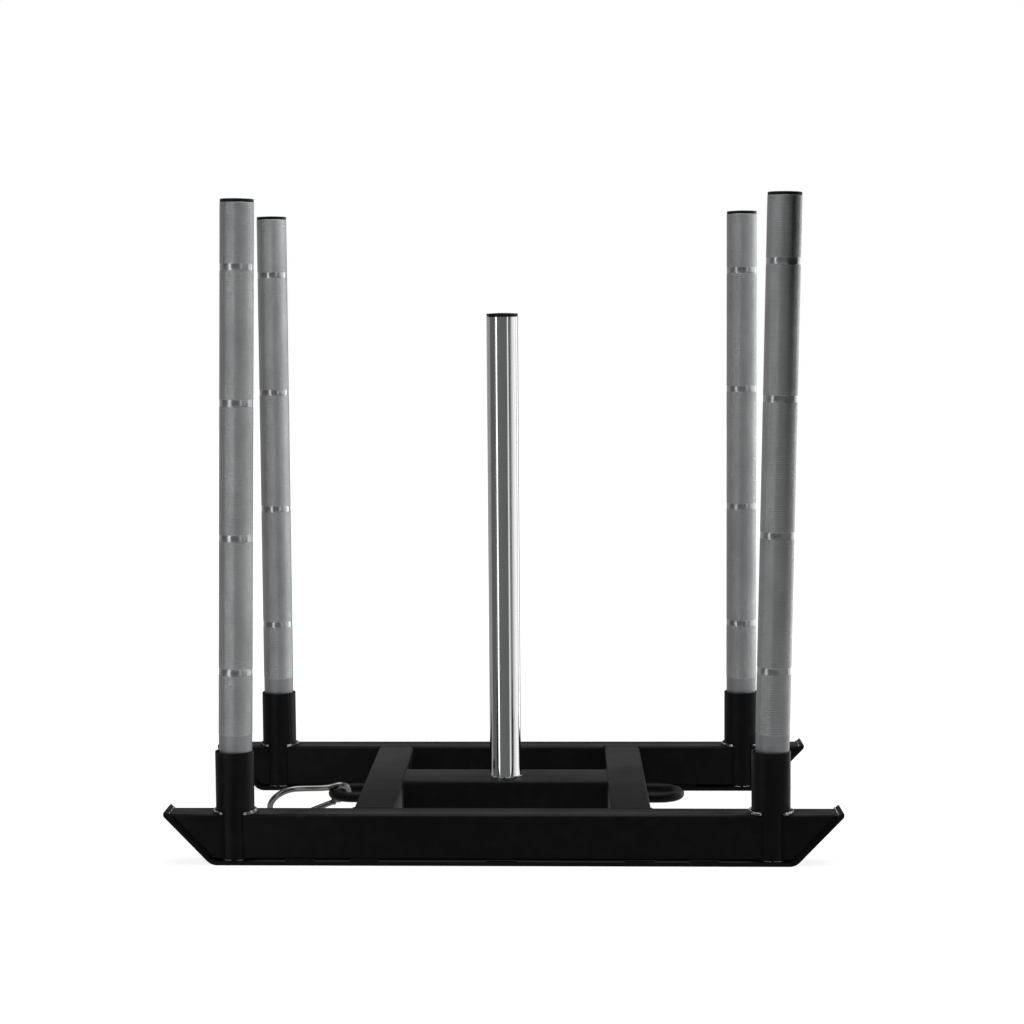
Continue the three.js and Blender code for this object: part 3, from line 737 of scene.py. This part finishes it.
seat = CHEEK + GAP
outline = [(0, -seat - RIVET_DOME)]
for i in range(1, 9):
    angle = math.pi / 2 * i / 8
    outline.append((RIVET_HEAD * math.sin(angle), -seat - RIVET_DOME * math.cos(angle)))
outline += [(RIVET_RADIUS, -seat), (RIVET_RADIUS, seat)]
outline += [(radius, -height) for radius, height in outline[8:0:-1]] + [(0, seat + RIVET_DOME)]
at_pivot = GATE_PLACE @ Matrix.Translation((PIVOT_AT, 0, 0))
rivet = turned("snap_hook_rivet_pin", outline, 36, [HOOK], False, at_pivot)
fitted(rivet, "snap_hook_gate", "hook_chrome", "snap_hook_rivet")

half = GATE_RADIUS - GAP
outline = [(0, -half), (PIN_RADIUS - PIN_EASE, -half), (PIN_RADIUS, PIN_EASE - half)]
outline += [(PIN_RADIUS, half - PIN_EASE), (PIN_RADIUS - PIN_EASE, half), (0, half)]
at_pin = GATE_PLACE @ Matrix.Translation((PIN_AT, 0, 0))
latch = turned("snap_hook_latch", outline, 28, [HOOK], False, at_pin)
fitted(latch, "snap_hook_gate", "hook_chrome", "snap_hook_latch_pin")

plunger_end = plunger_at + PLUNGER_LENGTH
outline = [(0, plunger_at + GAP), (SPRING_RADIUS * PLUNGER_FACE, plunger_at + GAP)]
outline.append((SPRING_RADIUS * PLUNGER_SHOULDER, plunger_at + SPRING_RADIUS * PLUNGER_SHOULDER_AT))
outline += [(SPRING_RADIUS, plunger_at + SPRING_RADIUS), (SPRING_RADIUS, plunger_end), (0, plunger_end)]
along_gate = GATE_PLACE @ Matrix.Rotation(math.pi / 2, 4, "Y")
plunger = turned("snap_hook_plunger_pin", outline, 28, [SPRING], False, along_gate)
fitted(plunger, "snap_hook_gate", "spring_steel", "snap_hook_plunger")


def coil_stations(start):
    """The spring's helix, along the gate's bore."""
    mean = SPRING_RADIUS - SPRING_WIRE
    line = []
    steps_a_turn = 20
    steps = SPRING_TURNS * steps_a_turn
    climb = (SPRING_LENGTH - 2 * SPRING_WIRE) / steps
    for i in range(steps + 1):
        angle = 2 * math.pi * i / steps_a_turn
        out = Vector((0, math.cos(angle), math.sin(angle)))
        centre = Vector((start + SPRING_WIRE + climb * i, 0, 0)) + out * mean
        line.append((centre, out, X, SPRING_WIRE, SPRING_WIRE, SPRING_WIRE, ROUND))
    return line


spring = swept("snap_hook_coil", coil_stations(plunger_end + GAP), SPRING, 10)
spring.data.transform(GATE_PLACE)
fitted(spring, "snap_hook_gate", "spring_steel", "snap_hook_spring")


# Weld beads: overlapping ripples laid along seam lines by Geometry Nodes
def bead_tree():
    """Sets a squashed ball at each pitch along a seam, long enough to overlap the next."""
    overlap, smallest, largest = 2.1, 0.86, 1.12
    tree = bpy.data.node_groups.new("weld_bead", "GeometryNodeTree")
    face = tree.interface
    face.new_socket("Geometry", in_out="INPUT", socket_type="NodeSocketGeometry")
    for name in ("Width", "Pitch", "Height"):
        face.new_socket(name, in_out="INPUT", socket_type="NodeSocketFloat")
    face.new_socket("Seed", in_out="INPUT", socket_type="NodeSocketInt")
    face.new_socket("Finish", in_out="INPUT", socket_type="NodeSocketMaterial")
    face.new_socket("Geometry", in_out="OUTPUT", socket_type="NodeSocketGeometry")
    node = tree.nodes.new
    link = tree.links.new
    given, done = node("NodeGroupInput"), node("NodeGroupOutput")
    curve = node("GeometryNodeMeshToCurve")
    spaced = node("GeometryNodeResampleCurve")
    spaced.mode = "LENGTH"
    tangent = node("GeometryNodeInputTangent")
    aim = node("FunctionNodeAlignRotationToVector")
    aim.axis = "X"
    ripple = node("GeometryNodeMeshUVSphere")
    ripple.inputs["Segments"].default_value = 10
    ripple.inputs["Rings"].default_value = 6
    ripple.inputs["Radius"].default_value = 0.5
    size = node("ShaderNodeCombineXYZ")
    stretch = node("ShaderNodeMath")
    stretch.operation = "MULTIPLY"
    stretch.inputs[1].default_value = overlap
    vary = node("FunctionNodeRandomValue")
    vary.data_type = "FLOAT"
    vary.inputs["Min"].default_value = smallest
    vary.inputs["Max"].default_value = largest
    grow = node("ShaderNodeVectorMath")
    grow.operation = "SCALE"
    place = node("GeometryNodeInstanceOnPoints")
    real = node("GeometryNodeRealizeInstances")
    soft = node("GeometryNodeSetShadeSmooth")
    paint = node("GeometryNodeSetMaterial")
    link(given.outputs["Geometry"], curve.inputs["Mesh"])
    link(curve.outputs["Curve"], spaced.inputs["Curve"])
    link(given.outputs["Pitch"], spaced.inputs["Length"])
    link(spaced.outputs["Curve"], place.inputs["Points"])
    link(ripple.outputs["Mesh"], place.inputs["Instance"])
    link(tangent.outputs["Tangent"], aim.inputs["Vector"])
    link(aim.outputs["Rotation"], place.inputs["Rotation"])
    link(given.outputs["Pitch"], stretch.inputs[0])
    link(stretch.outputs["Value"], size.inputs["X"])
    link(given.outputs["Width"], size.inputs["Y"])
    link(given.outputs["Height"], size.inputs["Z"])
    link(given.outputs["Seed"], vary.inputs["Seed"])
    link(size.outputs["Vector"], grow.inputs[0])
    link(vary.outputs[1], grow.inputs["Scale"])
    link(grow.outputs["Vector"], place.inputs["Scale"])
    link(place.outputs["Instances"], real.inputs["Geometry"])
    link(real.outputs["Geometry"], soft.inputs["Geometry"])
    link(soft.outputs["Geometry"], paint.inputs["Geometry"])
    link(given.outputs["Finish"], paint.inputs["Material"])
    link(paint.outputs["Geometry"], done.inputs["Geometry"])
    return tree


BEADS = bead_tree()


def welded(name, seams, width, pitch, finish, slot, seed):
    """Lays one bead along each seam, a list of points, and joins them in one piece."""
    height_share = 0.8
    bm = bmesh.new()
    for seam in seams:
        verts = [bm.verts.new(point) for point in seam]
        for a, b in zip(verts, verts[1:]):
            bm.edges.new((a, b))
    mesh = bpy.data.meshes.new(name)
    bm.to_mesh(mesh)
    bm.free()
    lines = new_object(f"{name}_seams", mesh, [])
    modifier = lines.modifiers.new("beads", "NODES")
    modifier.node_group = BEADS
    sockets = {item.name: item.identifier for item in BEADS.interface.items_tree if item.in_out == "INPUT"}
    height = width * height_share
    values = {"Width": width, "Pitch": pitch, "Height": height, "Seed": seed, "Finish": finish}
    for key, value in values.items():
        modifier[sockets[key]] = value
    return fitted(evaluated(lines, name), "sled_frame", slot)


def straight(start, end):
    """A seam from one point to another."""
    return [Vector(start), Vector(end)]


def arc(centre, radius, start, end, steps=24):
    """A level seam round a centre, from one angle to another in degrees."""
    points = []
    for i in range(steps + 1):
        angle = math.radians(start + (end - start) * i / steps)
        points.append(Vector(centre) + radius * Vector((math.cos(angle), math.sin(angle), 0)))
    return points


# Round the sleeves: on the deck, up the rail's faces, and on the skid
SLEEVE_BEAD_UP, SLEEVE_BEAD_OUT, SLEEVE_BEAD_SWEEP = 0.0012, 0.0020, 108
RISER_X, RISER_OUT, RISER_SHORT = 0.0151, 0.0003, 0.002
FOOT_BEAD_UP, FOOT_BEAD_IN, FOOT_BEAD_SWEEPS = 0.0012, 0.0002, ((60, 82), (98, 120), (240, 262), (276, 300))

# Between rail and skid: stitches along the foot, runs up the slants, one across each tip
STITCH_X, STITCH_HALF, STITCH_UP, STITCH_OUT = (-0.300, -0.205, 0.0, 0.205, 0.300), 0.021, 0.001, 0.0008
SLANT_SHARES, SLANT_OUT = (0.1, 0.9), 0.0006
TIP_HALF, TIP_UP, TIP_OUT = 0.023, 0.0002, 0.0012

# On the deck: beads lie this far off a face, below the deck's top or above a bar's foot
FACE_OUT, ACROSS_DOWN, CORNER_DOWN, CORNER_UP = 0.0006, 0.001, 0.002, 0.003
BEAM_DOWN, BEAM_CORNER_DOWN, BEAM_CORNER_END = 0.0012, 0.003, 0.030
LOOP_RING, LOOP_OUT, POST_UP, POST_OUT = 0.0086, 0.001, 0.0008, 0.0004

sleeve_seams, riser_seams, foot_seams, skid_seams, tip_seams, deck_seams, loop_seams = ([] for _ in range(7))
for y in (-RAIL_Y, RAIL_Y):
    for x in (-POLE_X, POLE_X):
        on_deck, on_skid = (x, y, DECK_TOP + SLEEVE_BEAD_UP), (x, y, SKID_TOP + FOOT_BEAD_UP)
        for middle in (0, 180):
            start, end = middle - SLEEVE_BEAD_SWEEP / 2, middle + SLEEVE_BEAD_SWEEP / 2
            sleeve_seams.append(arc(on_deck, SLEEVE_RADIUS + SLEEVE_BEAD_OUT, start, end))
        for side_x in (-1, 1):
            for side_y in (-1, 1):
                at = (x + side_x * RISER_X, y + side_y * (RAIL_WIDTH / 2 + RISER_OUT))
                riser_seams.append(straight((*at, SKID_TOP + RISER_SHORT), (*at, DECK_TOP - RISER_SHORT)))
        for start, end in FOOT_BEAD_SWEEPS:
            foot_seams.append(arc(on_skid, SLEEVE_RADIUS - FOOT_BEAD_IN, start, end, 8))
    for side in (-1, 1):
        edge, foot = y + side * (RAIL_WIDTH / 2 + STITCH_OUT), SKID_TOP + STITCH_UP
        for middle in STITCH_X:
            start, end = middle - STITCH_HALF, middle + STITCH_HALF
            skid_seams.append(straight((start, edge, foot), (end, edge, foot)))
        for end in (-1, 1):
            slant = []
            for share in SLANT_SHARES:
                z = SKID_TOP + (DECK_TOP - SKID_TOP) * share
                slant.append(Vector((end * slant_x(z, SKID_TOP + SLANT_OUT), edge, z)))
            skid_seams.append(slant)
    for end in (-1, 1):
        tip, over = end * slant_x(DECK_TOP, SKID_TOP + TIP_OUT), DECK_TOP + TIP_UP
        tip_seams.append(straight((tip, y - TIP_HALF, over), (tip, y + TIP_HALF, over)))

for side_x in (-1, 1):
    for side_y in (-1, 1):
        face = side_y * (RAIL_Y - RAIL_WIDTH / 2 - FACE_OUT)
        near, far = side_x * (CROSS_X - CROSS_WIDTH / 2), side_x * (CROSS_X + CROSS_WIDTH / 2)
        over, low = DECK_TOP - ACROSS_DOWN, DECK_TOP - CROSS_WIDTH + CORNER_UP
        deck_seams.append(straight((near, face, over), (far, face, over)))
        for corner in (near, far):
            deck_seams.append(straight((corner, face, DECK_TOP - CORNER_DOWN), (corner, face, low)))
    face = side_x * (CROSS_X - CROSS_WIDTH / 2 - FACE_OUT)
    half, over = BEAM_WIDTH / 2, DECK_TOP - BEAM_DOWN
    deck_seams.append(straight((face, -half, over), (face, half, over)))
    for side_y in (-1, 1):
        corner, over = side_y * half, DECK_TOP - BEAM_CORNER_DOWN
        deck_seams.append(straight((face, corner, over), (face, corner, BEAM_CORNER_END)))
        ring = []
        for i in range(25):
            angle = 2 * math.pi * i / 24
            leg, rise = side_y * TOW_BOW + LOOP_RING * math.cos(angle), LOOP_RING * math.sin(angle)
            ring.append(Vector((side_x * (TOW_FACE + LOOP_OUT), leg, TOW_HEIGHT + rise)))
        loop_seams.append(ring)
post_seams = [arc((0, 0, DECK_TOP + POST_UP), POST_RADIUS + POST_OUT, 0, 360, 48)]

# Name, seams, width, pitch, finish and seed of each run of beads
BEAD_RUNS = (
    ("sleeve_welds", sleeve_seams, 0.0066, 0.0036, WELD, 3),
    ("sleeve_side_welds", riser_seams, 0.0024, 0.0014, COAT, 4),
    ("sleeve_foot_welds", foot_seams, 0.0023, 0.0014, WELD, 5),
    ("skid_welds", skid_seams, 0.0034, 0.0017, COAT, 7),
    ("skid_tip_welds", tip_seams, 0.0036, 0.0018, WELD, 8),
    ("deck_welds", deck_seams, 0.0036, 0.0017, COAT, 11),
    ("tow_loop_welds", loop_seams, 0.0030, 0.0016, COAT, 13),
    ("post_weld", post_seams, 0.0024, 0.0016, WELD, 17),
)
for name, seams, width, pitch, finish, seed in BEAD_RUNS:
    beads = welded(name, seams, width, pitch, finish, "black_powder_coat", seed)
    beads.visible_glossy = name not in NOT_MIRRORED


# Floor, light and world
def emptied(owner):
    """Turns on the nodes of a material or world and clears them."""
    owner.use_nodes = True
    nodes, links = owner.node_tree.nodes, owner.node_tree.links
    nodes.clear()
    return nodes, links


def sheet(name, corners, material):
    """One flat face of the set, which isn't part of the object."""
    mesh = bpy.data.meshes.new(name)
    mesh.from_pydata(corners, [], [(0, 1, 2, 3)])
    face = new_object(name, mesh, [material])
    return face


def floor():
    """Grey for diffuse light, white with the object's shadow for the camera, clear from below."""
    grey, shaded, size = 0.62, 0.3, 14
    near, far, near_glow, far_glow = 0.9, 3.0, 0.8, 1.0
    material = bpy.data.materials.new("studio_floor")
    nodes, links = emptied(material)
    out = nodes.new("ShaderNodeOutputMaterial")
    matt = nodes.new("ShaderNodeBsdfDiffuse")
    matt.inputs["Color"].default_value = (grey, grey, grey, 1)
    shade = nodes.new("ShaderNodeBsdfDiffuse")
    shade.inputs["Color"].default_value = (shaded, shaded, shaded, 1)
    white = nodes.new("ShaderNodeEmission")
    where = nodes.new("ShaderNodeNewGeometry")
    away = nodes.new("ShaderNodeVectorMath")
    away.operation = "LENGTH"
    links.new(where.outputs["Position"], away.inputs[0])
    glow = ranged(nodes, links, away.outputs["Value"], near, far, near_glow, far_glow)
    links.new(glow, white.inputs["Strength"])
    seen = nodes.new("ShaderNodeAddShader")
    mix = nodes.new("ShaderNodeMixShader")
    path = nodes.new("ShaderNodeLightPath")
    links.new(shade.outputs[0], seen.inputs[0])
    links.new(white.outputs[0], seen.inputs[1])
    links.new(path.outputs["Is Camera Ray"], mix.inputs[0])
    links.new(matt.outputs[0], mix.inputs[1])
    links.new(seen.outputs[0], mix.inputs[2])
    clear, sides = nodes.new("ShaderNodeBsdfTransparent"), nodes.new("ShaderNodeMixShader")
    links.new(where.outputs["Backfacing"], sides.inputs[0])
    links.new(mix.outputs[0], sides.inputs[1])
    links.new(clear.outputs[0], sides.inputs[2])
    links.new(sides.outputs[0], out.inputs[0])
    corners = [(-size, -size, 0), (size, -size, 0), (size, size, 0), (-size, size, 0)]
    sheet("studio_floor", corners, material).visible_glossy = False


def soft_light(name, place, target, size, power, mirrored=False):
    """A rectangular lamp that faces a target; only a mirrored one shows in gloss."""
    data = bpy.data.lights.new(name, "AREA")
    data.shape = "RECTANGLE"
    data.size, data.size_y = size
    data.energy = power
    lamp = bpy.data.objects.new(name, data)
    lamp.location = place
    lamp.rotation_euler = (Vector(target) - Vector(place)).to_track_quat("-Z", "Y").to_euler()
    lamp.visible_glossy = mirrored
    lamp.visible_camera = False
    bpy.context.scene.collection.objects.link(lamp)


def shade_panel():
    """Dark panel right of the near right pole, seen by gloss alone: painted shade in that pole's reflection,
    glowing greyer toward its foot as a painted reflection.
    """
    x, front, back, foot, head = 0.50, -0.50, -0.265, 0.1, 1.3
    foot_glow, dark_from = 0.36, 0.95
    material = bpy.data.materials.new("shade_panel")
    nodes, links = emptied(material)
    where, split = nodes.new("ShaderNodeNewGeometry"), nodes.new("ShaderNodeSeparateXYZ")
    glow, out = nodes.new("ShaderNodeEmission"), nodes.new("ShaderNodeOutputMaterial")
    links.new(where.outputs["Position"], split.inputs[0])
    fade = ranged(nodes, links, split.outputs["Z"], foot, dark_from, foot_glow, 0.0)
    links.new(fade, glow.inputs["Strength"])
    links.new(glow.outputs[0], out.inputs[0])
    corners = [(x, front, foot), (x, back, foot), (x, back, head), (x, front, head)]
    panel = sheet("shade_panel", corners, material)
    panel.visible_camera = False
    panel.visible_diffuse = False
    panel.visible_shadow = False


# What gloss sees round the set: heading in degrees from the front, right is plus, and brightness
STUDIO_STEPS = (
    (-180, 0.22), (-130, 0.34), (-108, 0.26), (-97, 0.10), (-55, 0.10), (-28, 0.12), (33, 0.11),
    (38, 0.8), (43, 0.8), (48, 0.14), (60, 0.18), (69, 0.5), (90, 0.9), (106, 1.0), (118, 0.85),
    (128, 0.5), (150, 0.42), (166, 0.24), (180, 0.22),
)


def studio_world():
    """White for the camera, even for diffuse light, tall soft boxes round the set for gloss."""
    gloss_strength, even_strength, even_tone = 1.25, 0.4, (0.98, 0.99, 1, 1)
    world = bpy.data.worlds.new("studio")
    bpy.context.scene.world = world
    nodes, links = emptied(world)
    out = nodes.new("ShaderNodeOutputWorld")
    where = nodes.new("ShaderNodeTexCoord")
    split = nodes.new("ShaderNodeSeparateXYZ")
    links.new(where.outputs["Generated"], split.inputs[0])

    def calc(*terms):
        return calculated(nodes, links, *terms)

    def fading(under, grey, start, end):
        """Turns to grey as the ray's height goes from start to end."""
        mix = nodes.new("ShaderNodeMix")
        mix.data_type = "RGBA"
        mix.inputs["B"].default_value = (grey, grey, grey, 1)
        links.new(ranged(nodes, links, split.outputs["Z"], start, end), mix.inputs["Factor"])
        links.new(under, mix.inputs["A"])
        return mix.outputs["Result"]

    heading = calc("ARCTAN2", split.outputs["X"], calc("MULTIPLY", split.outputs["Y"], -1.0))
    turn = calc("ADD", calc("DIVIDE", heading, 2 * math.pi), 0.5)
    ramp = nodes.new("ShaderNodeValToRGB")
    while len(ramp.color_ramp.elements) < len(STUDIO_STEPS):
        ramp.color_ramp.elements.new(0.5)
    for element, (degrees, bright) in zip(ramp.color_ramp.elements, STUDIO_STEPS):
        element.position = degrees / 360 + 0.5
        element.color = (bright, bright, bright, 1)
    links.new(turn, ramp.inputs[0])
    above = fading(ramp.outputs["Color"], 0.2, 0.2, 0.5)
    all_round = fading(above, 0.5, -0.35, -0.6)
    gloss = nodes.new("ShaderNodeBackground")
    gloss.inputs["Strength"].default_value = gloss_strength
    links.new(all_round, gloss.inputs["Color"])
    even = nodes.new("ShaderNodeBackground")
    even.inputs["Color"].default_value = even_tone
    even.inputs["Strength"].default_value = even_strength
    white = nodes.new("ShaderNodeBackground")
    white.inputs["Color"].default_value = (1, 1, 1, 1)
    path = nodes.new("ShaderNodeLightPath")
    first, second = nodes.new("ShaderNodeMixShader"), nodes.new("ShaderNodeMixShader")
    links.new(path.outputs["Is Glossy Ray"], first.inputs[0])
    links.new(even.outputs[0], first.inputs[1])
    links.new(gloss.outputs[0], first.inputs[2])
    links.new(path.outputs["Is Camera Ray"], second.inputs[0])
    links.new(first.outputs[0], second.inputs[1])
    links.new(white.outputs[0], second.inputs[2])
    links.new(second.outputs[0], out.inputs[0])


floor()
soft_light("overhead_softbox", (0.2, 0.3, 2.8), (0, 0, 0), (2.4, 2.4), 46, True)
soft_light("front_left_softbox", (-1.9, -2.4, 1.7), (0, 0, 0.4), (1.0, 1.6), 26)
soft_light("right_softbox", (2.6, -0.6, 1.4), (0, 0, 0.4), (1.0, 1.6), 22)
soft_light("left_strip_light", (-1.1, -1.14, 1.0), (0, 0, 1.0), (0.26, 2.8), 4.4, True)
soft_light("back_right_softbox", (1.6, 1.4, 1.0), (0, 0, 1.0), (0.5, 2.8), 9, True)
shade_panel()
studio_world()
bpy.context.scene.view_settings.view_transform = "Standard"
